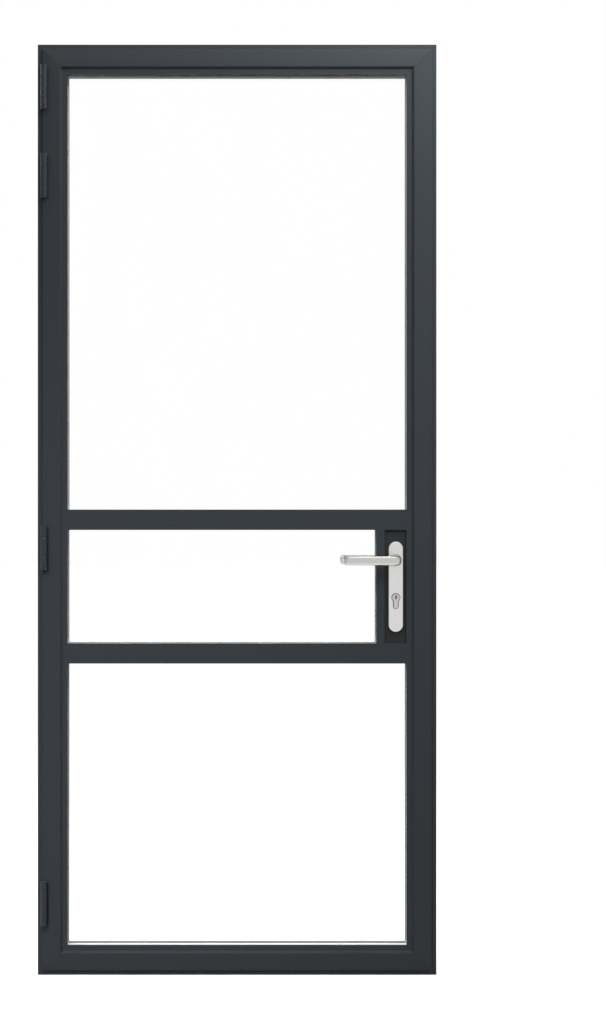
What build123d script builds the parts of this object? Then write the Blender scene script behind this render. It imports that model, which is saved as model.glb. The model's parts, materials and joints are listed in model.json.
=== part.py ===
"""A glass door leaf with three panes, hung in its own slim metal frame.

Millimetres. The origin is the middle of the sill's underside, +Z is up and the front, where the leaf
overlaps the frame and the hinges show, faces -Y. Hinges are at -X and the handle is at +X.
"""

import os
from collections import namedtuple
from math import sqrt

from build123d import *

os.makedirs("parts", exist_ok=True)

# Fixed frame: a tube with a stop behind the leaf.
frame_width = 900.0
frame_height = 2100.0
frame_depth = 64.0
frame_tube_width = 26.0
frame_stop_reach = 18.0
frame_stop_depth = 7.0
metal_wall = 2.0
stop_cavity_share = 0.4

# Leaf: a tube, a lip that overlaps the frame, and a flange that holds the glass.
leaf_border = 11.0
leaf_proud = 10.0
leaf_crown = 3.5
lip_gap = 4.0
rear_gap = 5.0
rebate_gap = 6.0
leaf_tube_width = 20.0
ledge_run = 5.0
ledge_drop = 6.0
ledge_inset = 1.0
flange_reach = 16.0
flange_thickness = 3.0
edge_round = 1.2

# Bars across the leaf.
mid_rail_face = 46.0
mid_rail_tube = 20.0
mullion_face = 19.5
mullion_tube = 9.0

# Bay round the handle's plate: the room that the bars leave on each side of it.
bay_gap_above = 26.0
bay_gap_below = 25.5
bay_gap_left = 8.5
bay_gap_right = 7.5

# Glazing.
pane_thickness = 4.0
pane_gap = 20.0
pane_clearance = 4.0
gasket_thickness = 4.0
gasket_width = 6.0
gasket_shy = 0.6
spacer_shy = 0.8
bead_wall = 1.6
block_length = 100.0
block_place_share = 0.25

# Seals round the leaf.
seal_width = 5.0
seal_groove_width = 3.0
seal_groove_depth = 1.8
seal_slack = 0.3
lip_seal_inset = 4.0
stop_seal_inset = 6.0

# Hinges.
hinge_low_place = 164.0
hinge_top_place = 98.0
hinge_pair_spacing = 200.0
hinge_middle_share = 0.459
hinge_length = 100.0
hinge_radius = 7.0
hinge_axis_inset = 4.0
hinge_pin_radius = 4.0
hinge_leaf_share = 0.42
hinge_joint_gap = 0.4
hinge_web_thickness = 1.7
hinge_foot_thickness = 2.5
hinge_edge_gap = 1.0
hinge_round = 1.0
pin_lock_radius = 1.6
pin_lock_depth = 2.0
pin_lock_inset = 7.0
running_gap = 0.05

# Screws, all alike and countersunk.
screw_radius = 2.0
screw_head_radius = 3.9
screw_head_depth = 2.1
screw_length = 10.0
leaf_screw_length = 8.0
socket_radius = 1.4
socket_depth = 1.2
hinge_screw_spacing = 24.0
screw_sink = 0.1

# Lock.
handle_height = 936.0
handle_to_cylinder = 84.0
box_wall = 2.0
case_gap = 1.5
case_height = 176.0
case_lift = 6.0
case_thickness = 16.0
case_wall = 1.5
faceplate_thickness = 2.5
faceplate_width = 22.0
faceplate_height = 246.0
latch_lift = 15.0
latch_height = 28.0
latch_throw = 11.0
latch_body = 21.0
latch_nose = 2.0
bolt_width = 12.0
bolt_drop = 39.0
bolt_height = 34.0
bolt_body = 36.0
bolt_tail_length = 34.0
bolt_tail_height = 9.0
bolt_gap = 0.25
bolt_round = 0.8
follower_radius = 10.0
follower_arm_reach = 17.4
follower_arm_width = 6.0
arm_thickness = 5.0
lug_gap = 0.7
lug_width = 4.5
tail_height = 6.0
tail_gap = 1.0
strike_thickness = 2.0
strike_margin = 14.0
strike_front_inset = 0.8
strike_width = 30.0

# Profile cylinder, the common pear-shaped kind.
cylinder_length = 54.0
cylinder_radius = 8.5
cylinder_tail_width = 10.0
cylinder_height = 33.0
cylinder_slot = 10.0
plug_radius = 6.5
cam_reach = 15.0
cam_hub_radius = 8.0
cam_lobe_width = 8.0
cam_clear = 0.6
cam_rest_angle = 210.0
key_slot_width = 2.4
key_slot_height = 9.4
key_slot_lift = 0.8
key_slot_depth = 16.0
key_ward = 1.0
fixing_screw_radius = 2.5

# Handle.
plate_length = 204.0
plate_width = 33.0
plate_depth = 10.0
plate_wall = 2.0
plate_round = 2.5
cylinder_hole_gap = 0.7
cylinder_hole_bevel = 1.0
collar_radius = 12.5
collar_depth = 3.0
neck_radius = 9.0
neck_clearance = 0.3
neck_sink = 3.0
lever_reach = 122.5
lever_standoff = 48.0
lever_height = 21.0
lever_depth = 17.0
lever_round = 6.0
lever_bend = 13.0
lever_return = 34.0
lever_end_round = 2.5
spindle_size = 8.0
spindle_gap = 0.1
spindle_grip = 20.0
post_radius = 4.0
post_inset = 10.0
post_gap = 3.8
plate_bolt_radius = 2.5
plate_bolt_head = 4.6
plate_bolt_head_depth = 2.4
plate_bolt_bite = 22.0

# Corner cleats and connectors.
cleat_reach = 75.0
frame_cleat_gap = 10.0
leaf_cleat_gap = 9.0
connector_reach = 40.0
fit_gap = 0.2

# Holes for fixing the jambs to the wall.
fixing_hole_radius = 4.1
fixing_access_radius = 7.5
fixing_end_place = 200.0
fixing_count = 4
fixing_place = 4.0

# Levels along Y, from the front of the frame back.
frame_front = -frame_depth / 2
frame_back = frame_depth / 2
stop_front = frame_back - frame_stop_depth
leaf_front = frame_front - leaf_proud
leaf_back = stop_front - rear_gap
lip_back = frame_front - lip_gap
flange_front = leaf_front + ledge_drop
flange_back = flange_front + flange_thickness
glass_front = flange_back + gasket_thickness
glass_back = glass_front + 2 * pane_thickness + pane_gap
bead_front = glass_back + gasket_thickness
lock_middle = (glass_front + glass_back) / 2
cleat_front = flange_back + metal_wall + leaf_cleat_gap
cleat_back = leaf_back - 2 * metal_wall

# Distances in from the frame's outer edge.
leaf_tube_start = frame_tube_width + rebate_gap
leaf_tube_end = leaf_tube_start + leaf_tube_width
crown_end = leaf_tube_end - ledge_inset
ledge_end = crown_end + ledge_run
sight_inset = leaf_tube_end + flange_reach
frame_stop_end = frame_tube_width + frame_stop_reach
lip_seal_place = frame_tube_width - lip_seal_inset
stop_seal_place = leaf_tube_start + stop_seal_inset

# Places across and up the door.
half_width = frame_width / 2
tube_x = half_width - leaf_tube_end
sight_x = half_width - sight_inset
edge_x = half_width - leaf_tube_start
half_rail = mid_rail_tube / 2
rail_flange = (mid_rail_face - mid_rail_tube) / 2
lock_x = sight_x - bay_gap_right - plate_width / 2
mullion_right = lock_x - plate_width / 2 - bay_gap_left
mullion_left = mullion_right - mullion_tube
mullion_sight = mullion_right - mullion_face
mullion_flange = mullion_face - mullion_tube
case_left = mullion_right + box_wall + case_gap
hinge_x = leaf_border + hinge_axis_inset - half_width
hinge_y = leaf_front - hinge_radius
third_hinge = frame_height - hinge_top_place - hinge_pair_spacing
middle_hinge = frame_height * hinge_middle_share
hinge_heights = (hinge_low_place, middle_hinge, third_hinge, frame_height - hinge_top_place)

# Heights in the lock: the upper post clears the latch's tail, the plate covers both posts, and the
# two mid rails keep their distance from the plate.
cylinder_height_up = handle_height - handle_to_cylinder
fixing_screw_height = cylinder_height_up + cylinder_radius + cylinder_tail_width / 2 - cylinder_height
arm_sweep = sqrt(follower_arm_reach**2 + follower_arm_width**2 / 4)
tail_low = handle_height + arm_sweep + tail_gap
tail_high = tail_low + tail_height
upper_post = tail_high + post_gap + post_radius
plate_high = upper_post + post_inset
plate_low = plate_high - plate_length
plate_middle = (plate_low + plate_high) / 2
lower_post = plate_low + post_inset
upper_rail_height = plate_high + bay_gap_above + mid_rail_face / 2
lower_rail_height = plate_low - bay_gap_below - mid_rail_face / 2
lock_low = lower_rail_height + half_rail
lock_high = upper_rail_height - half_rail

Rect = namedtuple("Rect", "left right low high")
outside = Rect(-half_width, half_width, 0, frame_height)
LOW_END = (Align.CENTER, Align.CENTER, Align.MIN)
nodes = {}


def inset(rect, left, right, low, high):
    """A rectangle moved in by a distance on each side."""
    return Rect(rect.left + left, rect.right - right, rect.low + low, rect.high - high)


def block(left, right, front, back, low, high):
    """A box between six faces."""
    size = Box(right - left, back - front, high - low)
    return Pos((left + right) / 2, (front + back) / 2, (low + high) / 2) * size


def polygon(*points):
    """A flat face with straight sides."""
    return make_face(Polyline(*points, close=True))


def frame_rect(u_start, u_end, front, back):
    """A rectangle in a section: in from the outer edge, and front to back."""
    return polygon((u_start, front), (u_end, front), (u_end, back), (u_start, back))


def to_back(sketch, front, back):
    """A shape drawn as seen from the front, given thickness from front to back."""
    plane = Plane(origin=(0, back, 0), x_dir=(1, 0, 0), z_dir=(0, -1, 0))
    return extrude(plane * sketch, amount=back - front)


def rod(radius, start, direction, length):
    """A round bar from a point along a direction."""
    return Plane(origin=start, z_dir=direction) * Cylinder(radius, length, align=LOW_END)


def side_bar(section, rect, side):
    """One mitred bar of a section along one side of a rectangle; u runs inward from that side."""
    low_left = (rect.left, 0, rect.low)
    low_right = (rect.right, 0, rect.low)
    high_left = (rect.left, 0, rect.high)
    high_right = (rect.right, 0, rect.high)
    ways = {
        "left": (low_left, (1, 0, 0), (0, 0, 1), rect.high - rect.low),
        "right": (high_right, (-1, 0, 0), (0, 0, -1), rect.high - rect.low),
        "top": (high_left, (0, 0, -1), (1, 0, 0), rect.right - rect.left),
        "bottom": (low_right, (0, 0, 1), (-1, 0, 0), rect.right - rect.left),
    }
    start, inward, along, length = ways[side]
    bar = extrude(Plane(origin=start, x_dir=inward, z_dir=along) * section, amount=length)
    inward = Vector(*inward)
    along = Vector(*along)
    end = Vector(*start) + along * length
    bar = split(bar, bisect_by=Plane(origin=start, z_dir=along - inward), keep=Keep.TOP)
    return split(bar, bisect_by=Plane(origin=end, z_dir=-along - inward), keep=Keep.TOP)


SIDES = ("left", "top", "right", "bottom")


def loop(section, rect, sides=SIDES):
    """Mitred bars joined into one loop, or part of one."""
    bars = [side_bar(section, rect, side) for side in sides]
    return bars[0] + bars[1:]


def nearest(shape, u, v):
    """The corner of a flat face that lies nearest to a point."""
    return min(shape.vertices(), key=lambda corner: (corner.X - u) ** 2 + (corner.Y - v) ** 2)


def screw(head, direction, length=screw_length):
    """A countersunk socket screw, with its head's face at a point."""
    cone = Cone(screw_head_radius, screw_radius, screw_head_depth, align=LOW_END)
    body = cone + Cylinder(screw_radius, length, align=LOW_END)
    socket = extrude(RegularPolygon(socket_radius, 6), amount=socket_depth)
    return Plane(origin=head, z_dir=direction) * (body - socket)


def screw_room(head, direction, length=screw_length):
    """The hole for one screw, a little larger than the screw."""
    radius = screw_radius + running_gap
    cone = Cone(screw_head_radius + running_gap, radius, screw_head_depth, align=LOW_END)
    return Plane(origin=head, z_dir=direction) * (cone + Cylinder(radius, length, align=LOW_END))


def bolt_head(radius, clearance):
    """The countersunk head of a long bolt, or the room for it."""
    return Cone(plate_bolt_head + clearance, radius + clearance, plate_bolt_head_depth, align=LOW_END)


def pear(clearance):
    """The outline of a profile cylinder, as seen from the front, where it sits in the door."""
    half = cylinder_tail_width / 2 + clearance
    drop = cylinder_height_up - fixing_screw_height
    outline = Pos(lock_x, cylinder_height_up) * Circle(cylinder_radius + clearance)
    outline += Pos(lock_x, cylinder_height_up - drop / 2) * Rectangle(2 * half, drop)
    return outline + Pos(lock_x, fixing_screw_height) * Circle(half)


def add_frame():
    """The fixed frame: four mitred bars, their cleats and the stop seal."""
    groove_left = stop_seal_place - seal_groove_width / 2
    groove_right = stop_seal_place + seal_groove_width / 2
    section = polygon(
        (0, frame_front),
        (frame_tube_width, frame_front),
        (frame_tube_width, stop_front),
        (frame_stop_end, stop_front),
        (frame_stop_end, frame_back),
        (0, frame_back),
    )
    inner = frame_tube_width - metal_wall
    section -= frame_rect(metal_wall, inner, frame_front + metal_wall, frame_back - metal_wall)
    cavity_end = frame_tube_width + frame_stop_reach * stop_cavity_share
    cavity_front = stop_front + metal_wall
    section -= frame_rect(frame_tube_width, cavity_end, cavity_front, frame_back - metal_wall)
    section -= frame_rect(groove_left, groove_right, stop_front, stop_front + seal_groove_depth)
    names = ("frame_hinge_jamb", "frame_head", "frame_lock_jamb", "frame_sill")
    for name, side in zip(names, SIDES):
        nodes[name] = side_bar(section, outside, side)
    cleat_margin = metal_wall + frame_cleat_gap
    nodes["frame_corner_cleats"] = corner_cleats(
        metal_wall, inner, frame_front + cleat_margin, frame_back - cleat_margin
    )
    nodes["frame_stop_seal"] = loop(seal_section(stop_seal_place, stop_front, -1, rear_gap), outside)
    spacing = (frame_height - 2 * fixing_end_place) / (fixing_count - 1)
    for count in range(fixing_count):
        up = fixing_end_place + count * spacing
        for name, side in (("frame_hinge_jamb", -1), ("frame_lock_jamb", 1)):
            point = (side * half_width, fixing_place, up)
            nodes[name] -= rod(fixing_hole_radius, point, (-side, 0, 0), frame_tube_width)
            point = (side * (half_width - frame_tube_width), fixing_place, up)
            nodes[name] -= rod(fixing_access_radius, point, (side, 0, 0), metal_wall)


def seal_section(place, seat, way, gap):
    """A seal with a foot in its groove and a soft round face that stops just short of what it meets."""
    half = seal_width / 2
    foot = seal_groove_width / 2 - fit_gap / 2
    reach = seat + way * (gap - seal_slack)
    root = seat - way * (seal_groove_depth - fit_gap)
    shoulder = seat + way * (gap - seal_slack) / 2
    sides = Polyline(
        (place - half, shoulder),
        (place - half, seat),
        (place - foot, seat),
        (place - foot, root),
        (place + foot, root),
        (place + foot, seat),
        (place + half, seat),
        (place + half, shoulder),
    )
    face = ThreePointArc((place + half, shoulder), (place, reach), (place - half, shoulder))
    return make_face(sides + face)


def corner_cleats(u_start, u_end, front, back, rect=outside):
    """Four corner pieces that sit in the bars' tubes behind the mitres."""
    near = u_start + fit_gap
    far = u_end - fit_gap
    reach = u_start + cleat_reach
    corners = []
    for side in (-1, 1):
        edge = side * half_width
        for base, way in ((rect.low, 1), (rect.high, -1)):
            points = ((near, near), (reach, near), (reach, far), (far, far), (far, reach), (near, reach))
            placed = [(edge - side * u, base + way * v) for u, v in points]
            corners.append(to_back(polygon(*placed), front, back))
    return Compound(children=corners)


def leaf_section():
    """The section shared by the leaf's four outer bars."""
    outer = (leaf_border, leaf_front + leaf_crown)
    peak = (crown_end, leaf_front)
    crown = TangentArc(peak, outer, tangent=(-1, 0))
    rest = Polyline(
        outer,
        (leaf_border, lip_back),
        (leaf_tube_start, lip_back),
        (leaf_tube_start, leaf_back),
        (leaf_tube_end, leaf_back),
        (leaf_tube_end, flange_back),
        (sight_inset, flange_back),
        (sight_inset, flange_front),
        (ledge_end, flange_front),
        peak,
    )
    section = make_face(crown + rest)
    section = fillet(nearest(section, *peak), edge_round)
    section = fillet(nearest(section, *outer), edge_round)
    hollow = (leaf_front + 2 * metal_wall, leaf_back - metal_wall)
    section -= frame_rect(leaf_tube_start + metal_wall, leaf_tube_end - metal_wall, *hollow)
    groove_left = lip_seal_place - seal_groove_width / 2
    groove_right = lip_seal_place + seal_groove_width / 2
    return section - frame_rect(groove_left, groove_right, lip_back - seal_groove_depth, lip_back)


def add_leaf():
    """The leaf: four mitred bars, two mid rails, the short mullion and what joins them."""
    section = leaf_section()
    names = ("leaf_hinge_stile", "leaf_top_rail", "leaf_lock_stile", "leaf_bottom_rail")
    for name, side in zip(names, SIDES):
        nodes[name] = side_bar(section, outside, side)
    nodes["leaf_corner_cleats"] = corner_cleats(
        leaf_tube_start + metal_wall, leaf_tube_end - metal_wall, cleat_front, cleat_back
    )
    nodes["leaf_overlap_seal"] = loop(seal_section(lip_seal_place, lip_back, 1, lip_gap), outside)
    connectors = []
    for name, height in (("upper_mid_rail", upper_rail_height), ("lower_mid_rail", lower_rail_height)):
        half = mid_rail_face / 2
        rail = block(-tube_x, tube_x, flange_front, flange_back, height - half, height + half)
        rail += block(-tube_x, tube_x, flange_front, leaf_back, height - half_rail, height + half_rail)
        hollow = half_rail - metal_wall
        hollow_front = flange_back + metal_wall
        hollow_back = leaf_back - metal_wall
        rail -= block(-tube_x, tube_x, hollow_front, hollow_back, height - hollow, height + hollow)
        for side in (-1, 1):
            ends = sorted((side * sight_x, side * tube_x))
            rail -= block(*ends, flange_front, flange_back, height - half, height + half)
            ends = sorted((side * tube_x, side * (tube_x - connector_reach)))
            fill = hollow - fit_gap
            connectors.append(block(*ends, cleat_front, cleat_back, height - fill, height + fill))
        nodes[name] = rail
    nodes["lock_mullion"] = lock_mullion()
    for low, high in ((lock_low, lock_low + connector_reach), (lock_high - connector_reach, lock_high)):
        left = mullion_left + metal_wall + fit_gap
        right = mullion_right - metal_wall - fit_gap
        connectors.append(block(left, right, cleat_front, cleat_back, low, high))
    nodes["rail_connectors"] = Compound(children=connectors)


def lock_mullion():
    """The short upright between the mid rails, with a flange on its glass side only."""
    post = block(mullion_sight, mullion_right, flange_front, flange_back, lock_low, lock_high)
    post += block(mullion_left, mullion_right, flange_front, leaf_back, lock_low, lock_high)
    left = mullion_left + metal_wall
    right = mullion_right - metal_wall
    post -= block(left, right, flange_back + metal_wall, leaf_back - metal_wall, lock_low, lock_high)
    for low, high in ((lock_low, lock_low + rail_flange), (lock_high - rail_flange, lock_high)):
        post -= block(mullion_sight, mullion_right, flange_front, flange_back, low, high)
    return post


def add_glazing():
    """Three sealed glass units, each between a front and a rear gasket and held by four beads."""
    upper_room = Rect(-tube_x, tube_x, upper_rail_height + half_rail, frame_height - leaf_tube_end)
    middle_room = Rect(-tube_x, mullion_left, lock_low, lock_high)
    lower_room = Rect(-tube_x, tube_x, leaf_tube_end, lower_rail_height - half_rail)
    units = {
        "upper": (upper_room, flange_reach, rail_flange, flange_reach),
        "middle": (middle_room, mullion_flange, rail_flange, rail_flange),
        "lower": (lower_room, flange_reach, flange_reach, rail_flange),
    }
    front_gaskets = []
    rear_gaskets = []
    blocks = []
    strip = frame_rect(0, gasket_width - gasket_shy, flange_back, glass_front)
    rear_strip = frame_rect(0, gasket_width - gasket_shy, glass_back, bead_front)
    between = (glass_front + pane_thickness, glass_back - pane_thickness)
    for name, (room, right_cover, low_cover, high_cover) in units.items():
        glass = inset(room, pane_clearance, pane_clearance, pane_clearance, pane_clearance)
        faces = (glass.left, glass.right), (glass.low, glass.high)
        nodes[name + "_front_pane"] = block(*faces[0], glass_front, glass_front + pane_thickness, *faces[1])
        nodes[name + "_rear_pane"] = block(*faces[0], glass_back - pane_thickness, glass_back, *faces[1])
        sight = inset(room, flange_reach, right_cover, low_cover, high_cover)
        clear = inset(sight, -spacer_shy, -spacer_shy, -spacer_shy, -spacer_shy)
        spacer = block(*faces[0], *between, *faces[1])
        nodes[name + "_spacer"] = spacer - block(clear.left, clear.right, *between, clear.low, clear.high)
        cover = inset(sight, -gasket_width, -gasket_width, -gasket_width, -gasket_width)
        front_gaskets.append(loop(strip, cover))
        rear_gaskets.append(loop(rear_strip, cover))
        nodes[name + "_glazing_beads"] = beads(room, sight)
        for way in (-1, 1):
            middle = (glass.left + glass.right) / 2 + way * (glass.right - glass.left) * block_place_share
            half = block_length / 2
            blocks.append(block(middle - half, middle + half, glass_front, glass_back, room.low, glass.low))
    lock_cover = Rect(mullion_right, sight_x + gasket_width, 0, 0)
    lock_cover = lock_cover._replace(low=lock_low + rail_flange - gasket_width)
    lock_cover = lock_cover._replace(high=lock_high - rail_flange + gasket_width)
    front_gaskets.append(loop(strip, lock_cover, ("top", "right", "bottom")))
    nodes["front_glazing_gaskets"] = Compound(children=front_gaskets)
    nodes["rear_glazing_gaskets"] = Compound(children=rear_gaskets)
    nodes["setting_blocks"] = Compound(children=blocks)


def beads(room, sight):
    """Four hollow beads that hold one unit from behind; the level ones run right across."""
    bars = []
    spans = (
        (room.left, room.right, room.low, sight.low),
        (room.left, room.right, sight.high, room.high),
        (room.left, sight.left, sight.low, sight.high),
        (sight.right, room.right, sight.low, sight.high),
    )
    for count, (left, right, low, high) in enumerate(spans):
        bar = block(left, right, bead_front, leaf_back, low, high)
        level = count < len(spans) / 2
        ends = (left, right) if level else (left + bead_wall, right - bead_wall)
        heights = (low + bead_wall, high - bead_wall) if level else (low, high)
        bars.append(bar - block(*ends, bead_front + bead_wall, leaf_back - bead_wall, *heights))
    return Compound(children=bars)


def add_hinges():
    """Four barrel hinges: a fixed part, a moving part and a pin each.

    The fixed part's web passes the leaf's edge, and its foot is screwed to the frame behind the leaf's lip.
    """
    leaf_half = hinge_length * hinge_leaf_share / 2
    half = hinge_length / 2
    left = hinge_x - hinge_radius
    right = hinge_x + hinge_radius
    web_right = leaf_border - hinge_edge_gap - half_width
    web_left = web_right - hinge_web_thickness
    foot_right = lip_seal_place - seal_width / 2 - hinge_edge_gap - half_width
    foot_front = frame_front - hinge_foot_thickness
    foot_start = leaf_border + hinge_edge_gap - half_width
    pins = []
    frame_screws = []
    leaf_screws = []
    screw_x = (web_left + foot_right) / 2
    for count, height in enumerate(hinge_heights, start=1):
        base = (hinge_x, hinge_y, height - half)
        fixed = rod(hinge_radius, base, (0, 0, 1), hinge_length)
        fixed = fillet(fixed.edges().filter_by(GeomType.CIRCLE), hinge_round)
        foot_ends = (height - half + hinge_round, height + half - hinge_round)
        fixed += block(web_left, web_right, hinge_y, frame_front, *foot_ends)
        fixed += block(web_left, foot_right, foot_front, frame_front, *foot_ends)
        fixed -= rod(hinge_pin_radius, base, (0, 0, 1), hinge_length)
        reach = leaf_half + hinge_joint_gap
        room = (hinge_y - hinge_radius, foot_front, height - reach, height + reach)
        fixed -= block(min(left, web_left), right, *room)
        lock_end = height - half + pin_lock_inset
        lock_front = hinge_y - hinge_radius
        fixed -= rod(pin_lock_radius, (hinge_x, lock_front, lock_end), (0, 1, 0), pin_lock_depth)
        moving = rod(hinge_radius, (hinge_x, hinge_y, height - leaf_half), (0, 0, 1), 2 * leaf_half)
        foot_ends = (height - leaf_half, height + leaf_half)
        moving += block(foot_start, right - hinge_edge_gap, hinge_y, lip_back, *foot_ends)
        moving -= nodes["leaf_hinge_stile"]
        bore = hinge_pin_radius + running_gap
        moving -= rod(bore, (hinge_x, hinge_y, height - leaf_half), (0, 0, 1), 2 * leaf_half)
        for way in (-1, 1):
            up = height + way * hinge_screw_spacing / 2
            head = (screw_x, foot_front + screw_sink, up)
            frame_screws.append(screw(head, (0, 1, 0)))
            room = screw_room(head, (0, 1, 0))
            fixed -= room
            fixed -= rod(screw_head_radius + running_gap, head, (0, -1, 0), screw_sink)
            nodes["frame_hinge_jamb"] -= room
            head = (hinge_x, lip_back - screw_sink, up)
            leaf_screws.append(screw(head, (0, -1, 0), leaf_screw_length))
            room = screw_room(head, (0, -1, 0), leaf_screw_length)
            room += rod(screw_head_radius + running_gap, head, (0, 1, 0), screw_sink)
            moving -= room
            nodes["leaf_hinge_stile"] -= room
        nodes[f"hinge_{count}_frame_part"] = fixed
        nodes[f"hinge_{count}_leaf_part"] = largest(moving)
        pins.append(rod(hinge_pin_radius, base, (0, 0, 1), hinge_length))
    nodes["hinge_pins"] = Compound(children=pins)
    return frame_screws, leaf_screws


def largest(shape):
    """The largest solid of a shape, without any loose slivers a cut has left."""
    return max(shape.solids(), key=lambda solid: solid.volume)


def pocket(name, left, right, front, back, low, high):
    """A square hole through one piece."""
    nodes[name] -= block(left, right, front, back, low, high)


def add_lock(frame_screws, leaf_screws):
    """The lock box behind the handle, the lock case with its bolts, and the strike in the frame."""
    box_back = glass_back - box_wall
    tray = block(mullion_right, tube_x, glass_front, box_back, lock_low, lock_high)
    left = mullion_right + box_wall
    right = tube_x - box_wall
    low = lock_low + box_wall
    high = lock_high - box_wall
    tray -= block(left, right, glass_front + box_wall, box_back, low, high)
    for ends in ((low, low + cover_lip()), (high - cover_lip(), high)):
        tray += block(left, right, box_back - box_wall, box_back, *ends)
    lid = block(mullion_right, tube_x, box_back, glass_back, lock_low, lock_high)
    for up in (low + cover_lip() / 2, high - cover_lip() / 2):
        for across in (left + cover_lip(), right - cover_lip()):
            head = (across, glass_back - screw_sink, up)
            leaf_screws.append(screw(head, (0, -1, 0)))
            room = screw_room(head, (0, -1, 0))
            room += rod(screw_head_radius + running_gap, head, (0, 1, 0), screw_sink)
            tray -= room
            lid -= room
    nodes["lock_box"] = tray
    nodes["lock_box_cover"] = lid
    add_case(leaf_screws)
    add_bolts()
    add_strike(frame_screws)


def cover_lip():
    """The width of the lips that the lock box's cover is screwed to."""
    return 2 * screw_head_radius + 2 * box_wall


def add_case(leaf_screws):
    """The lock case with its faceplate, and the room it takes in the stile and the box."""
    front = lock_middle - case_thickness / 2
    back = lock_middle + case_thickness / 2
    middle = (handle_height + cylinder_height_up) / 2 + case_lift
    low = middle - case_height / 2
    high = middle + case_height / 2
    room = (front - fit_gap, back + fit_gap, low - fit_gap, high + fit_gap)
    for name in ("leaf_lock_stile", "lock_box"):
        pocket(name, case_left - fit_gap, edge_x, *room)
    case = block(case_left, edge_x, front, back, low, high)
    inner = (front + case_wall, back - case_wall, low + case_wall, high - case_wall)
    case -= block(case_left + case_wall, edge_x, *inner)
    half = faceplate_height / 2
    thick = faceplate_thickness
    width = faceplate_width / 2
    depth = (lock_middle - width, lock_middle + width)
    plate = block(edge_x, edge_x + thick, *depth, middle - half, middle + half)
    case += fillet(plate.edges().filter_by(Axis.X), width / 2)
    case -= rod(follower_radius, (lock_x, front, handle_height), (0, 1, 0), case_thickness)
    case -= to_back(pear(fit_gap), front, back)
    for post in (lower_post, upper_post):
        case -= rod(post_radius + 2 * fit_gap, (lock_x, front, post), (0, 1, 0), case_thickness)
    half = bolt_width / 2 + bolt_gap
    depth = (lock_middle - half, lock_middle + half)
    for centre, tall in ((latch_middle(), latch_height), (bolt_middle(), bolt_height)):
        edge = tall / 2 + bolt_gap
        case -= block(edge_x, edge_x + thick, *depth, centre - edge, centre + edge)
    for way in (-1, 1):
        up = middle + way * (case_height + faceplate_height) / 4
        head = (edge_x + thick - screw_sink, lock_middle, up)
        leaf_screws.append(screw(head, (-1, 0, 0), leaf_screw_length))
        room = screw_room(head, (-1, 0, 0), leaf_screw_length)
        case -= room + rod(screw_head_radius + running_gap, head, (1, 0, 0), screw_sink)
        nodes["leaf_lock_stile"] -= room
    nodes["lock_case"] = case


def latch_middle():
    """The height of the latch bolt's middle."""
    return handle_height + latch_lift


def bolt_middle():
    """The height of the deadbolt's middle."""
    return handle_height - bolt_drop


def add_bolts():
    """The sprung latch bolt, the deadbolt, and the follower that draws the latch back."""
    face = edge_x + faceplate_thickness
    half = bolt_width / 2
    low = latch_middle() - latch_height / 2
    high = latch_middle() + latch_height / 2
    start = face - latch_body
    tip = face + latch_throw
    outline = Polyline(
        (start, lock_middle - half),
        (tip, lock_middle - half),
        (tip, lock_middle - half + latch_nose),
        (face, lock_middle + half),
        (start, lock_middle + half),
        close=True,
    )
    latch = extrude(Pos(0, 0, low) * make_face(outline), amount=high - low)
    lug_right = lock_x - follower_arm_width / 2 - lug_gap
    lug_left = lug_right - lug_width
    thick = arm_thickness / 2
    depth = (lock_middle - thick, lock_middle + thick)
    latch += block(lug_left, start, *depth, tail_low, tail_high)
    lug_low = handle_height + follower_radius + lug_gap
    latch += block(lug_left, lug_right, *depth, lug_low, tail_low)
    nodes["latch_bolt"] = latch
    low = bolt_middle() - bolt_height / 2
    high = bolt_middle() + bolt_height / 2
    start = face - bolt_body
    bolt = block(start, face, lock_middle - half, lock_middle + half, low, high)
    bolt = fillet(bolt.faces().sort_by(Axis.X)[-1].edges(), bolt_round)
    bolt += block(start - bolt_tail_length, start, *depth, low, low + bolt_tail_height)
    nodes["deadbolt"] = bolt
    end = (lock_x, lock_middle - case_thickness / 2, handle_height)
    hub = rod(follower_radius - running_gap, end, (0, 1, 0), case_thickness)
    wide = follower_arm_width / 2
    hub += block(lock_x - wide, lock_x + wide, *depth, handle_height, handle_height + follower_arm_reach)
    nodes["lock_follower"] = hub - spindle_bar(spindle_gap)


def spindle_bar(clearance):
    """The square bar that joins the two levers, or the room for it."""
    half = spindle_size / 2 + clearance
    front = glass_front - plate_depth - spindle_grip
    back = glass_back + plate_depth + spindle_grip
    return block(lock_x - half, lock_x + half, front, back, handle_height - half, handle_height + half)


def add_strike(frame_screws):
    """The strike plate, and the holes behind it that take the latch and the deadbolt."""
    face = half_width - frame_tube_width
    half = bolt_width / 2 + 2 * bolt_gap
    front = frame_front + strike_front_inset
    back = front + strike_width
    low = bolt_middle() - bolt_height / 2 - strike_margin
    high = latch_middle() + latch_height / 2 + strike_margin
    plate = block(face - strike_thickness, face, front, back, low, high)
    for centre, tall in ((latch_middle(), latch_height), (bolt_middle(), bolt_height)):
        edge = tall / 2 + 2 * bolt_gap
        room = (lock_middle - half, lock_middle + half, centre - edge, centre + edge)
        plate -= block(face - strike_thickness, face, *room)
        pocket("frame_lock_jamb", face, face + metal_wall, *room)
    for up in (low + strike_margin / 2, high - strike_margin / 2):
        head = (face - strike_thickness + screw_sink, lock_middle, up)
        frame_screws.append(screw(head, (1, 0, 0)))
        room = screw_room(head, (1, 0, 0))
        plate -= room + rod(screw_head_radius + running_gap, head, (-1, 0, 0), screw_sink)
        nodes["frame_lock_jamb"] -= room
    nodes["strike_plate"] = plate


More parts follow.
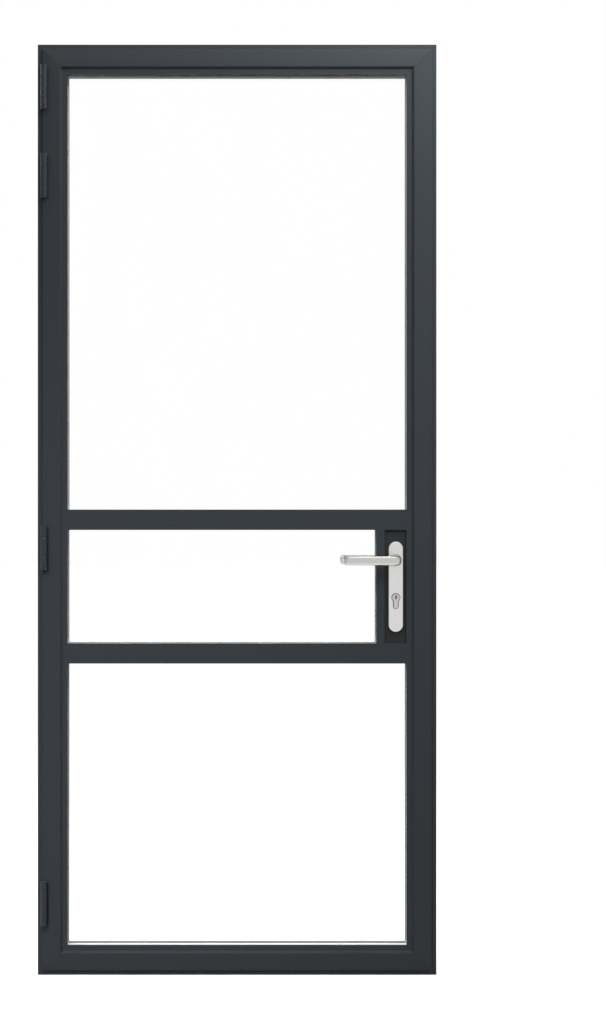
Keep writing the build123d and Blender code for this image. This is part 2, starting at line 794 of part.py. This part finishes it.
def add_cylinder():
    """The profile cylinder: body, two plugs, the cam between them and the long fixing screw."""
    front = lock_middle - cylinder_length / 2
    back = lock_middle + cylinder_length / 2
    slot_front = lock_middle - cylinder_slot / 2
    slot_back = lock_middle + cylinder_slot / 2
    body = to_back(pear(0), front, back)
    centre = (lock_x, front, cylinder_height_up)
    body -= rod(plug_radius, centre, (0, 1, 0), cylinder_length)
    wide = cylinder_radius + cam_clear
    web_top = cylinder_height_up - cam_reach - cam_clear
    roof = cylinder_height_up + wide
    body -= block(lock_x - wide, lock_x + wide, slot_front, slot_back, web_top, roof)
    hole = (edge_x + faceplate_thickness, lock_middle, fixing_screw_height)
    reach = edge_x + faceplate_thickness - lock_x + cylinder_tail_width / 2
    body -= rod(fixing_screw_radius + running_gap, hole, (-1, 0, 0), reach)
    nodes["cylinder_body"] = body
    room = rod(fixing_screw_radius + running_gap, hole, (-1, 0, 0), reach)
    head_room = Plane(origin=hole, z_dir=(-1, 0, 0)) * bolt_head(fixing_screw_radius, running_gap)
    nodes["lock_case"] -= room + head_room
    shank = Cylinder(fixing_screw_radius, reach, align=LOW_END) + bolt_head(fixing_screw_radius, 0)
    shank -= extrude(RegularPolygon(socket_radius, 6), amount=socket_depth)
    nodes["cylinder_screw"] = Plane(origin=hole, z_dir=(-1, 0, 0)) * shank
    turn = plug_radius - running_gap
    for name, start, way in (("cylinder_front_plug", front, 1), ("cylinder_rear_plug", back, -1)):
        length = (cylinder_length - cylinder_slot) / 2 + fit_gap
        point = (lock_x, start, cylinder_height_up)
        plug = rod(turn, point, (0, way, 0), length)
        half = key_slot_width / 2
        ends = sorted((start, start + way * key_slot_depth))
        low = cylinder_height_up + key_slot_lift - key_slot_height / 2
        high = low + key_slot_height
        plug -= block(lock_x - half, lock_x + half, *ends, low, high)
        third = (high - low) / 3
        plug -= block(lock_x, lock_x + half + key_ward, *ends, low + third, high - third)
        nodes[name] = plug
    cam_front = slot_front + fit_gap
    cam_back = slot_back - 2 * fit_gap
    hub = Circle(cam_hub_radius)
    lobe_length = cam_reach - cam_lobe_width / 2
    lobe = Pos(lobe_length / 2, 0) * Rectangle(lobe_length, cam_lobe_width)
    lobe += Pos(lobe_length, 0) * Circle(cam_lobe_width / 2)
    outline = Pos(lock_x, cylinder_height_up) * Rot(0, 0, cam_rest_angle) * (hub + lobe)
    nodes["cylinder_cam"] = to_back(outline, cam_front, cam_back)


def backplate(seat, way):
    """One long plate: a shell with round ends, a collar for the lever and a bevelled cylinder hole."""
    face = seat + way * plate_depth
    inner = face - way * plate_wall
    place = Pos(lock_x, plate_middle) * Rot(0, 0, 90)
    outline = place * SlotOverall(plate_length, plate_width)
    hollow = place * SlotOverall(plate_length - 2 * plate_wall, plate_width - 2 * plate_wall)
    plate = to_back(outline, *sorted((seat, face)))
    rim = plate.faces().sort_by(Axis.Y)[0 if way < 0 else -1].edges()
    plate = fillet(rim, plate_round)
    plate -= to_back(hollow, *sorted((seat, inner)))
    plate += rod(collar_radius, (lock_x, inner, handle_height), (0, way, 0), plate_wall + collar_depth)
    neck_room = neck_radius + neck_clearance
    plate -= rod(neck_room, (lock_x, seat, handle_height), (0, way, 0), plate_depth + collar_depth)
    plate -= to_back(pear(cylinder_hole_gap), *sorted((seat, face)))
    front = plate.faces().filter_by_position(Axis.Y, face - fit_gap, face + fit_gap)[0]
    hole = min(front.inner_wires(), key=lambda wire: wire.center().Z)
    return chamfer(hole.edges(), cylinder_hole_bevel)


def lever(seat, way):
    """One lever: a round neck that turns into a flat-sided bar with its end bent back to the door."""
    face = seat + way * plate_depth
    bar = face + way * lever_standoff
    far = lock_x - lever_reach + lever_depth / 2
    start = (lock_x, face + way * collar_depth, handle_height)
    path = FilletPolyline(
        start,
        (lock_x, bar, handle_height),
        (far, bar, handle_height),
        (far, bar - way * lever_return, handle_height),
        radius=lever_bend,
    )
    section = Plane(origin=start, x_dir=(1, 0, 0), z_dir=(0, way, 0))
    shape = sweep(section * RectangleRounded(lever_depth, lever_height, lever_round), path=path)
    free_end = shape.faces().filter_by(Axis.Y).sort_by(Axis.X)[0]
    shape = fillet(free_end.edges(), lever_end_round)
    root = (lock_x, face - way * neck_sink + way * collar_depth, handle_height)
    shape += rod(neck_radius, root, (0, way, 0), neck_sink)
    return shape


def add_handle():
    """Both plates, both levers, the spindle between them and the two plate bolts."""
    front_plate = backplate(glass_front, -1)
    rear_plate = backplate(glass_back, 1)
    bolts = []
    post_back = glass_back - box_wall - fit_gap
    post_front = glass_front - plate_depth + plate_wall
    head_y = glass_back + plate_depth
    for up in (lower_post, upper_post):
        front_plate += rod(post_radius, (lock_x, post_front, up), (0, 1, 0), post_back - post_front)
        tip = post_back - plate_bolt_bite
        length = head_y - tip
        head = (lock_x, head_y, up)
        room = rod(plate_bolt_radius + running_gap, head, (0, -1, 0), length)
        shank = Cylinder(plate_bolt_radius, length, align=LOW_END) + bolt_head(plate_bolt_radius, 0)
        shank -= extrude(RegularPolygon(socket_radius, 6), amount=socket_depth)
        front_plate -= room
        collar = rod(plate_bolt_head, (lock_x, glass_back, up), (0, 1, 0), plate_depth - plate_wall)
        rear_plate += collar
        head_room = Plane(origin=head, z_dir=(0, -1, 0)) * bolt_head(plate_bolt_radius, running_gap)
        rear_plate -= room + head_room
        nodes["lock_box_cover"] -= room
        bolts.append(Plane(origin=head, z_dir=(0, -1, 0)) * shank)
        hole = (lock_x, glass_front, up)
        nodes["lock_box"] -= rod(post_radius + fit_gap, hole, (0, 1, 0), box_wall)
    for name, seat in (("lock_box", glass_front), ("lock_box_cover", glass_back - box_wall)):
        hole = (lock_x, seat, handle_height)
        nodes[name] -= rod(follower_radius, hole, (0, 1, 0), box_wall)
        nodes[name] -= to_back(pear(fit_gap), seat, seat + box_wall)
    nodes["front_backplate"] = front_plate
    nodes["rear_backplate"] = rear_plate
    nodes["plate_bolts"] = Compound(children=bolts)
    nodes["front_lever"] = lever(glass_front, -1) - spindle_bar(spindle_gap)
    nodes["rear_lever"] = lever(glass_back, 1) - spindle_bar(spindle_gap)
    nodes["spindle"] = spindle_bar(0)


add_frame()
add_leaf()
add_glazing()
frame_screw_list, leaf_screw_list = add_hinges()
add_lock(frame_screw_list, leaf_screw_list)
add_cylinder()
add_handle()
nodes["frame_screws"] = Compound(children=frame_screw_list)
nodes["leaf_screws"] = Compound(children=leaf_screw_list)

for name, shape in nodes.items():
    export_step(shape, f"parts/{name}.step")
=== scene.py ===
"""Looks of the glass door: a finish for every CAD piece, a white studio and the photograph's camera.

Metres, in the CAD frame: the sill's underside is at z = 0, the front faces -Y and the hinges are at -X.
"""

import json
import math

import bpy
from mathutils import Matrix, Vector

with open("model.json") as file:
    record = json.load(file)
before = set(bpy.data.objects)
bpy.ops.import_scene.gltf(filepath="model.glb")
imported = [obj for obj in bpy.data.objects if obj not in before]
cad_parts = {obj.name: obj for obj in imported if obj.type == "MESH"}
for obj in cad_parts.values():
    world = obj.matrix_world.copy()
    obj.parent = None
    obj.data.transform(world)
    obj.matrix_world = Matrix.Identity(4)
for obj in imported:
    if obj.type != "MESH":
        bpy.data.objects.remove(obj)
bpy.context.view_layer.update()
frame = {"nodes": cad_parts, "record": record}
joints = {joint["name"]: joint for joint in frame["record"]["behaviour"]["joints"]}

# The door's outer size, for the mitre seams, and the frame's front face, which the camera is set from.
HALF_WIDTH = 0.450
HEIGHT = 2.100
FRAME_FRONT = -0.032

# The lock: the lever's axis and the cylinder's, the collar under the lever and half the cylinder's length.
LOCK_X, LOCK_Y, HANDLE_Z = joints["handle_turn"]["pos_m"]
CYLINDER_Z = joints["front_key_turn"]["pos_m"][2]
COLLAR_RADIUS = 0.0125
CYLINDER_HALF = 0.027

# The glass units: the middle of their depth, and the drying holes in their spacers.
GLASS_MIDDLE = -0.015
HOLE_PITCH = 0.0032
HOLE_RADIUS = 0.0004
HOLE_FADE = 0.0001
HOLE_ROW = 0.0055

# Fine marks, with how far each fades at its edges: the mitre seam, the ring of painted shade on the collar's
# side and the painted shade in the keyway, which starts behind the plug's face.
SEAM_HALF = 0.0003
SEAM_FADE = 0.0002
COLLAR_SHADE_HALF = 0.0008
COLLAR_SHADE_FADE = 0.0004
KEYWAY_SHADE_START = 0.0007
KEYWAY_SHADE_FADE = 0.0005

# How round small edges look, how deep a surface's grain is, and the turning rings, as radians to a metre.
PAINT_EDGE = 0.0005
PLATE_EDGE = 0.0004
SMALL_EDGE = 0.0003
GRAIN_DEPTH = 0.0001
TEXTURE_DEPTH = 0.0002
RING_RATE = 21000.0

# The photograph: its size in pixels, metres to a pixel on the frame's front, where the door's foot and middle
# are in it, and how far off the camera stands.
IMAGE_HEIGHT = 1024
IMAGE_WIDTH = 606
PIXEL = 0.0022577
MIDDLE_PIXEL = 237.1
FOOT_PIXEL = 974.84
DISTANCE = 5.2
SENSOR = 24.0
CLIP_END = 100.0

# The floor: its own colour where it is seen and what it sends back as soft light, and the glow that makes it
# show white, which grows with the distance from the door because the lamps reach less far.
FLOOR_REACH = 40.0
FLOOR_SEEN = 0.6
FLOOR_BOUNCE = 0.03
GLOW_NEAR = 0.66
GLOW_FAR = 0.8
GLOW_START = 0.8
GLOW_END = 3.5

# The world: its soft light, how far to the side, as a share of a ray's direction, brushed metal begins to see
# the studio's darker sides, and how white those sides are.
WORLD_LIGHT = 0.45
SIDE_START = 0.65
LEFT_WHITE = 0.45
RIGHT_WHITE = 0.95
WHITE = (1.0, 1.0, 1.0, 1.0)

# Colours of the finishes, as light sent back.
ANTHRACITE = (0.027, 0.032, 0.037)
# The lock box's coat is a darker copy of the anthracite, as painted shade for its recess behind the rails'
# flanges.
ANTHRACITE_WITH_RECESS_SHADE = (0.020, 0.022, 0.024)
STAINLESS = (0.68, 0.665, 0.65)
# The lever's stainless is a darker copy of the plate's, as painted shade for the darker reflections along the
# lever.
LEVER_STEEL_SHADED = (0.55, 0.54, 0.525)
NICKEL = (0.52, 0.51, 0.50)
ZINC = (0.52, 0.52, 0.53)
BARE_ALUMINIUM = (0.74, 0.745, 0.75)
BLACK = (0.016, 0.016, 0.017)
PALE_GREY = (0.78, 0.785, 0.79)
DARK_BLUE = (0.08, 0.10, 0.24)
CLEAR = (0.997, 1.0, 0.998)


class Nodes:
    """Short ways to add nodes to the node tree of a material or the world."""

    def __init__(self, tree):
        self.tree = tree

    def add(self, kind, inputs=None, **settings):
        node = self.tree.nodes.new(kind)
        for name, value in settings.items():
            setattr(node, name, value)
        for name, value in (inputs or {}).items():
            self.feed(value, node.inputs[name])
        return node

    def feed(self, value, socket):
        """Link another node's output to a socket, or set a plain value on it."""
        if isinstance(value, bpy.types.NodeSocket):
            self.tree.links.new(value, socket)
        else:
            socket.default_value = value

    def math(self, operation, first, second=0.0, third=0.0):
        node = self.add("ShaderNodeMath", operation=operation)
        for socket, value in zip(node.inputs, (first, second, third)):
            self.feed(value, socket)
        return node.outputs[0]

    def gap(self, first, second):
        """How far apart two values are."""
        return self.math("ABSOLUTE", self.math("SUBTRACT", first, second))

    def split(self, vector):
        return self.add("ShaderNodeSeparateXYZ", {0: vector}).outputs

    def spread(self, value, low=0.0, high=1.0, start=0.3, end=0.7):
        """A value carried from one range to another, and held at that range's ends."""
        inputs = {"Value": value, "From Min": start, "From Max": end, "To Min": low, "To Max": high}
        return self.add("ShaderNodeMapRange", inputs).outputs[0]

    def within(self, value, limit, fade):
        """1 where a value is below a limit and 0 above it, with a soft change between."""
        return self.spread(value, low=1.0, high=0.0, start=limit - fade, end=limit + fade)

    def seen(self):
        """1 for rays from the camera, a mirror or through glass, and 0 for soft light."""
        path = self.add("ShaderNodeLightPath").outputs
        mirrored = self.math("MAXIMUM", path["Is Camera Ray"], path["Is Glossy Ray"])
        return self.math("MAXIMUM", mirrored, path["Is Transmission Ray"])


class Finish(Nodes):
    """A material with one Principled shader, and textures that lie in the CAD frame."""

    def __init__(self, name, **sockets):
        self.material = bpy.data.materials.new(name)
        self.material.use_nodes = True
        super().__init__(self.material.node_tree)
        self.shader = self.tree.nodes["Principled BSDF"]
        self.output = self.tree.nodes["Material Output"]
        for socket, value in sockets.items():
            self.to(socket.replace("_", " "), value)
        self.place = self.add("ShaderNodeTexCoord").outputs["Object"]

    def to(self, name, value):
        self.feed(value, self.shader.inputs[name])

    def from_axis(self, across, up):
        """The distance from a line that runs front to back."""
        x, _, z = self.split(self.place)
        side = self.math("SUBTRACT", x, across)
        rise = self.math("SUBTRACT", z, up)
        return self.math("SQRT", self.math("MULTIPLY_ADD", side, side, self.math("MULTIPLY", rise, rise)))

    def noise(self, scale, detail=2.0, stretch=(1, 1, 1), rough=0.5):
        mapped = self.add("ShaderNodeMapping", {"Vector": self.place, "Scale": stretch}).outputs[0]
        inputs = {"Vector": mapped, "Scale": scale, "Detail": detail, "Roughness": rough}
        return self.add("ShaderNodeTexNoise", inputs).outputs[0]

    def blend(self, factor, first, second):
        """One colour going over into another, by the Mix node's sockets for colours."""
        node = self.add("ShaderNodeMix", data_type="RGBA")
        for socket, value in zip((node.inputs[0], node.inputs[6], node.inputs[7]), (factor, first, second)):
            self.feed(value, socket)
        return node.outputs[2]

    def shaded(self, factor, colour, low, high):
        """A colour that goes from a darker to a lighter shade of itself."""
        return self.blend(factor, tinted(colour, low), tinted(colour, high))

    def soft_edges(self, radius):
        return self.add("ShaderNodeBevel", {"Radius": radius}, samples=4).outputs[0]

    def bump(self, height, strength, distance, edge=None):
        node = self.add("ShaderNodeBump", {"Height": height, "Strength": strength, "Distance": distance})
        if edge:
            self.feed(self.soft_edges(edge), node.inputs["Normal"])
        self.to("Normal", node.outputs[0])


def tinted(colour, share):
    return (*(channel * share for channel in colour), 1.0)


def powder_coat(name, colour, roughness):
    """Fine-textured powder coat, with a hairline seam at each mitre."""
    cloud_share = 0.5
    seam_depth = 3.0
    finish = Finish(name, Specular_IOR_Level=0.15)
    grain = finish.noise(scale=1700.0)
    cloud = finish.noise(scale=2.6, detail=3.0)
    peel = finish.noise(scale=420.0, detail=3.0)
    base = finish.shaded(finish.spread(grain), colour, low=0.88, high=1.12)
    base = finish.blend(finish.spread(cloud, high=0.35), base, tinted(colour, share=1.1))
    x, _, z = finish.split(finish.place)
    across = finish.math("SUBTRACT", HALF_WIDTH, finish.math("ABSOLUTE", x))
    up = finish.math("MINIMUM", z, finish.math("SUBTRACT", HEIGHT, z))
    seam = finish.within(finish.gap(across, up), SEAM_HALF, SEAM_FADE)
    finish.to("Base Color", finish.blend(seam, base, tinted(colour, share=0.25)))
    uneven = finish.math("ADD", peel, finish.math("MULTIPLY", cloud, cloud_share))
    worn = finish.spread(uneven, low=-0.05, high=0.05, start=0.5, end=1.0)
    finish.to("Roughness", finish.math("ADD", worn, roughness))
    raised = finish.math("ADD", grain, peel)
    height = finish.math("SUBTRACT", raised, finish.math("MULTIPLY", seam, seam_depth))
    finish.bump(height, strength=0.12, distance=TEXTURE_DEPTH, edge=PAINT_EDGE)
    return finish.material


def brushed_steel(name, colour, roughness, along, collar=False):
    """Stainless steel with fine brush marks along one axis and, on a plate, a ring of painted shade on its
    collar's side.
    """
    finish = Finish(name, Metallic=1.0, Anisotropic=0.35)
    stretch = tuple(0.02 if axis == along else 1.0 for axis in "xyz")
    marks = finish.noise(scale=2600.0, detail=3.0, stretch=stretch, rough=0.6)
    wide = finish.noise(scale=240.0, stretch=stretch)
    cloud = finish.noise(scale=14.0)
    base = finish.shaded(finish.spread(marks), colour, low=0.93, high=1.05)
    base = finish.blend(finish.spread(wide, high=0.4), base, tinted(colour, share=0.95))
    if collar:
        # Painted shade: a dark ring in the plate's colour at the collar's rim, which darkens the collar's
        # side wall where it lies in shade round the lever's neck.
        off_collar_rim = finish.gap(finish.from_axis(LOCK_X, HANDLE_Z), COLLAR_RADIUS)
        line = finish.within(off_collar_rim, COLLAR_SHADE_HALF, COLLAR_SHADE_FADE)
        base = finish.blend(line, base, tinted(colour, share=0.4))
    finish.to("Base Color", base)
    streaks = finish.spread(marks, low=-0.06, high=0.08)
    patches = finish.spread(cloud, low=-0.02, high=0.03)
    finish.to("Roughness", finish.math("ADD", finish.math("ADD", streaks, patches), roughness))
    finish.bump(marks, strength=0.08, distance=GRAIN_DEPTH, edge=PLATE_EDGE)
    return finish.material


def turned_metal(name, colour, roughness, keyway_shade=False):
    """The cylinder's plated metal, with fine rings left by turning and, in a plug, painted shade in its
    keyway.
    """
    ring_share = 0.12
    finish = Finish(name, Metallic=1.0)
    rings = finish.math("SINE", finish.math("MULTIPLY", finish.from_axis(LOCK_X, CYLINDER_Z), RING_RATE))
    cloud = finish.noise(scale=300.0, detail=3.0)
    lines = finish.math("ADD", finish.math("MULTIPLY", rings, ring_share), cloud)
    base = finish.shaded(finish.spread(lines), colour, low=0.9, high=1.08)
    if keyway_shade:
        # Painted shade: the plug is darkened everywhere more than a little behind its faces, for the shade
        # inside the keyway.
        from_middle = finish.gap(finish.split(finish.place)[1], LOCK_Y)
        deep = finish.within(from_middle, CYLINDER_HALF - KEYWAY_SHADE_START, KEYWAY_SHADE_FADE)
        base = finish.blend(deep, base, tinted(colour, share=0.08))
    finish.to("Base Color", base)
    finish.to("Roughness", finish.spread(lines, low=roughness - 0.06, high=roughness + 0.08))
    finish.bump(lines, strength=0.1, distance=GRAIN_DEPTH, edge=SMALL_EDGE)
    return finish.material


def plain_metal(name, colour, roughness, stretch=(1, 1, 1)):
    """Zinc-plated or extruded metal, a little uneven."""
    marks_share = 0.6
    cloud_share = 0.4
    finish = Finish(name, Metallic=1.0)
    marks = finish.noise(scale=900.0, detail=4.0, stretch=stretch)
    cloud = finish.noise(scale=60.0, detail=3.0)
    marks_part = finish.math("MULTIPLY", marks, marks_share)
    mixed = finish.math("ADD", marks_part, finish.math("MULTIPLY", cloud, cloud_share))
    finish.to("Base Color", finish.shaded(finish.spread(mixed), colour, low=0.85, high=1.1))
    finish.to("Roughness", finish.spread(mixed, low=roughness - 0.08, high=roughness + 0.1))
    finish.bump(marks, strength=0.1, distance=GRAIN_DEPTH, edge=SMALL_EDGE)
    return finish.material


def rubber(name, colour):
    """Extruded rubber, matt with a fine grain."""
    finish = Finish(name, Specular_IOR_Level=0.0)
    grain = finish.noise(scale=2200.0)
    cloud = finish.noise(scale=25.0)
    finish.to("Base Color", finish.shaded(finish.spread(cloud), colour, low=0.8, high=1.25))
    finish.to("Roughness", finish.spread(grain, low=0.62, high=0.82))
    finish.bump(grain, strength=0.15, distance=GRAIN_DEPTH)
    return finish.material


def spacer_bar(name, colour):
    """The warm-edge bar between two panes: pale plastic with two rows of drying holes."""
    hole_middle_share = 0.5
    hole_depth = 4.0
    finish = Finish(name, Specular_IOR_Level=0.0)
    x, y, z = finish.split(finish.place)
    facing = finish.split(finish.add("ShaderNodeTexCoord").outputs["Normal"])
    up_the_side = finish.math("MULTIPLY", z, finish.math("ABSOLUTE", facing[0]))
    across_the_end = finish.math("MULTIPLY", x, finish.math("ABSOLUTE", facing[2]))
    along = finish.math("ADD", up_the_side, across_the_end)
    turn = finish.math("FRACT", finish.math("DIVIDE", along, HOLE_PITCH))
    step = finish.math("MULTIPLY", finish.math("SUBTRACT", turn, hole_middle_share), HOLE_PITCH)
    row = finish.math("SUBTRACT", finish.gap(y, GLASS_MIDDLE), HOLE_ROW)
    squared = finish.math("ADD", finish.math("MULTIPLY", step, step), finish.math("MULTIPLY", row, row))
    hole = finish.within(finish.math("SQRT", squared), HOLE_RADIUS, HOLE_FADE)
    grain = finish.noise(scale=1500.0)
    base = finish.shaded(finish.spread(grain), colour, low=0.94, high=1.06)
    finish.to("Base Color", finish.blend(hole, base, tinted(colour, share=0.2)))
    finish.to("Roughness", finish.spread(grain, low=0.5, high=0.62))
    height = finish.math("SUBTRACT", grain, finish.math("MULTIPLY", hole, hole_depth))
    finish.bump(height, strength=0.15, distance=TEXTURE_DEPTH)
    return finish.material


def moulded_plastic(name, colour):
    """Plain moulded plastic with a fine grain."""
    finish = Finish(name)
    grain = finish.noise(scale=1300.0, detail=3.0)
    finish.to("Base Color", finish.shaded(finish.spread(grain), colour, low=0.9, high=1.1))
    finish.to("Roughness", finish.spread(grain, low=0.42, high=0.58))
    finish.bump(grain, strength=0.1, distance=GRAIN_DEPTH, edge=PLATE_EDGE)
    return finish.material


def clear_glass(name, colour):
    """Float glass that lets lamps through, with the faintest trace of wiping."""
    finish = Finish(name, Transmission_Weight=1.0, IOR=1.5)
    wiped = finish.noise(scale=9.0, detail=4.0, stretch=(1.0, 1.0, 0.35))
    finish.to("Base Color", finish.shaded(finish.spread(wiped), colour, low=0.998, high=1.0))
    finish.to("Roughness", finish.spread(wiped, high=0.002, start=0.5, end=0.8))
    path = finish.add("ShaderNodeLightPath").outputs
    soft = finish.math("MAXIMUM", path["Is Shadow Ray"], path["Is Diffuse Ray"])
    clear = finish.add("ShaderNodeBsdfTransparent")
    mix = finish.add("ShaderNodeMixShader", {0: soft, 1: finish.shader.outputs[0], 2: clear.outputs[0]})
    finish.feed(mix.outputs[0], finish.output.inputs[0])
    return finish.material


paint = powder_coat("anthracite_powder_coat", ANTHRACITE, roughness=0.42)
# The lock box gets the darker copy of the coat: painted shade in the recess it sits in.
recess_shaded_paint = powder_coat("lock_box_powder_coat_with_painted_shade", ANTHRACITE_WITH_RECESS_SHADE, roughness=0.5)
steel_upright = brushed_steel("brushed_stainless_upright", STAINLESS, roughness=0.30, along="z")
plate_steel_with_collar_shade = brushed_steel("brushed_stainless_plate_with_painted_collar_shade", STAINLESS, roughness=0.30, along="z", collar=True)
# The lever gets the darker copy of the stainless: painted shade for its darker reflections.
steel_lever_shaded = brushed_steel("brushed_stainless_lever_with_painted_shade", LEVER_STEEL_SHADED, roughness=0.26, along="x")
nickel = turned_metal("nickel_plated_brass", NICKEL, roughness=0.33)
plug_nickel_with_keyway_shade = turned_metal("nickel_plated_plug_with_keyway_shade", NICKEL, roughness=0.33, keyway_shade=True)
steel = plain_metal("zinc_plated_steel", ZINC, roughness=0.34)
aluminium = plain_metal("bare_extruded_aluminium", BARE_ALUMINIUM, roughness=0.38, stretch=(1.0, 0.1, 1.0))
black_rubber = rubber("black_rubber", BLACK)
spacer = spacer_bar("warm_edge_spacer", PALE_GREY)
block_plastic = moulded_plastic("setting_block_plastic", DARK_BLUE)
glass = clear_glass("float_glass", CLEAR)

# Which finish each CAD piece gets: by its name where one is given, and otherwise by its slot.
BY_SLOT = {
    "anthracite_paint": paint,
    "clear_glass": glass,
    "bare_aluminium": aluminium,
    "grey_spacer": spacer,
    "black_rubber": black_rubber,
    "block_plastic": block_plastic,
    "brushed_stainless": steel_upright,
    "plain_steel": steel,
    "nickel_brass": nickel,
}
BY_NODE = {
    "lock_box": recess_shaded_paint,
    "lock_box_cover": recess_shaded_paint,
    "front_backplate": plate_steel_with_collar_shade,
    "rear_backplate": plate_steel_with_collar_shade,
    "front_lever": steel_lever_shaded,
    "rear_lever": steel_lever_shaded,
    "cylinder_front_plug": plug_nickel_with_keyway_shade,
    "cylinder_rear_plug": plug_nickel_with_keyway_shade,
}
for part in frame["record"]["subparts"]:
    name = part["node"]
    finish = BY_NODE.get(name, BY_SLOT[part["material_slot"]])
    for slot in frame["nodes"][name].material_slots:
        slot.material = finish


def studio_floor():
    """A pale floor that shows white, and still takes the door's soft shadow."""
    mesh = bpy.data.meshes.new("studio_floor")
    reach = FLOOR_REACH
    corners = ((-reach, -reach, 0), (reach, -reach, 0), (reach, reach, 0), (-reach, reach, 0))
    mesh.from_pydata(corners, [], [range(len(corners))])
    floor = bpy.data.objects.new("studio_floor", mesh)
    bpy.context.scene.collection.objects.link(floor)
    material = bpy.data.materials.new("pale_floor")
    material.use_nodes = True
    material.node_tree.nodes.clear()
    nodes = Nodes(material.node_tree)
    shown = nodes.seen()
    colour = nodes.spread(shown, FLOOR_BOUNCE, FLOOR_SEEN, start=0.0, end=1.0)
    diffuse = nodes.add("ShaderNodeBsdfDiffuse", {"Color": colour})
    place = nodes.add("ShaderNodeTexCoord").outputs["Object"]
    away = nodes.add("ShaderNodeVectorMath", {0: place}, operation="LENGTH").outputs["Value"]
    strength = nodes.spread(away, GLOW_NEAR, GLOW_FAR, start=GLOW_START, end=GLOW_END)
    glow = nodes.add("ShaderNodeEmission", {"Strength": nodes.math("MULTIPLY", shown, strength)})
    both = nodes.add("ShaderNodeAddShader", {0: diffuse.outputs[0], 1: glow.outputs[0]})
    nodes.add("ShaderNodeOutputMaterial", {0: both.outputs[0]})
    mesh.materials.append(material)


def white_world():
    """White where it is seen and in glass, darker to the sides in brushed metal, and a plain soft light."""
    world = bpy.data.worlds.new("studio")
    bpy.context.scene.world = world
    world.use_nodes = True
    world.node_tree.nodes.clear()
    nodes = Nodes(world.node_tree)
    soft = nodes.add("ShaderNodeBackground", {"Color": WHITE, "Strength": WORLD_LIGHT})
    across = nodes.split(nodes.add("ShaderNodeTexCoord").outputs["Generated"])[0]
    left = nodes.spread(across, 1.0 - LEFT_WHITE, 0.0, start=-1.0, end=-SIDE_START)
    right = nodes.spread(across, 0.0, 1.0 - RIGHT_WHITE, start=SIDE_START, end=1.0)
    path = nodes.add("ShaderNodeLightPath").outputs
    brushed = nodes.math("SUBTRACT", path["Is Glossy Ray"], path["Is Singular Ray"])
    brushed = nodes.math("MAXIMUM", brushed, 0.0)
    darker = nodes.math("MULTIPLY", brushed, nodes.math("ADD", left, right))
    strength = nodes.math("SUBTRACT", 1.0, darker)
    white = nodes.add("ShaderNodeBackground", {"Color": WHITE, "Strength": strength})
    mix = nodes.add("ShaderNodeMixShader", {0: nodes.seen(), 1: soft.outputs[0], 2: white.outputs[0]})
    nodes.add("ShaderNodeOutputWorld", {0: mix.outputs[0]})


def area_light(name, watts, size, place, aim, cone=180.0, mirrored=False):
    """A soft box, which may throw a narrower cone and may be left out of mirrors."""
    data = bpy.data.lights.new(name, "AREA")
    data.shape = "RECTANGLE"
    data.size, data.size_y = size
    data.energy = watts
    data.spread = math.radians(cone)
    lamp = bpy.data.objects.new(name, data)
    lamp.location = place
    lamp.rotation_euler = (Vector(aim) - Vector(place)).to_track_quat("-Z", "Y").to_euler()
    lamp.visible_glossy = mirrored
    bpy.context.scene.collection.objects.link(lamp)


def photo_camera():
    """Straight on, level with the picture's middle row, and shifted so that the door stands left of it."""
    data = bpy.data.cameras.new("photo_camera")
    data.sensor_fit = "VERTICAL"
    data.sensor_height = SENSOR
    data.lens = DISTANCE / PIXEL * SENSOR / IMAGE_HEIGHT
    data.shift_x = (IMAGE_WIDTH / 2 - MIDDLE_PIXEL) / IMAGE_HEIGHT
    data.clip_end = CLIP_END
    camera = bpy.data.objects.new("photo_camera", data)
    camera.location = (0.0, FRAME_FRONT - DISTANCE, (FOOT_PIXEL - IMAGE_HEIGHT / 2) * PIXEL)
    camera.rotation_euler = (math.radians(90.0), 0.0, 0.0)
    bpy.context.scene.collection.objects.link(camera)
    bpy.context.scene.camera = camera


studio_floor()
white_world()
area_light("sky_light", watts=27.0, size=(4.0, 2.6), mirrored=True,
           place=(0.6, -1.0, 3.3), aim=(0.1, 0.0, 1.6))
area_light("upper_light", watts=11.0, size=(2.6, 1.6),
           place=(0.7, -0.8, 3.0), aim=(0.2, 0.0, 1.8))
area_light("top_light", watts=20.0, size=(1.6, 0.3),
           place=(0.8, -0.4, 2.5), aim=(0.35, 0.0, 2.08))
area_light("left_light", watts=7.5, size=(0.9, 0.9), cone=50.0,
           place=(-1.3, -2.4, 2.4), aim=(-0.4, 0.0, 0.1))
area_light("right_light", watts=1.4, size=(0.7, 0.7), cone=36.0,
           place=(1.3, -2.2, 2.4), aim=(0.42, 0.0, 1.15))
area_light("back_light", watts=45.0, size=(2.0, 2.0), mirrored=True,
           place=(-1.3, 1.8, 3.0), aim=(0.1, 0.0, 0.6))
photo_camera()
bpy.context.scene.view_settings.view_transform = "Standard"
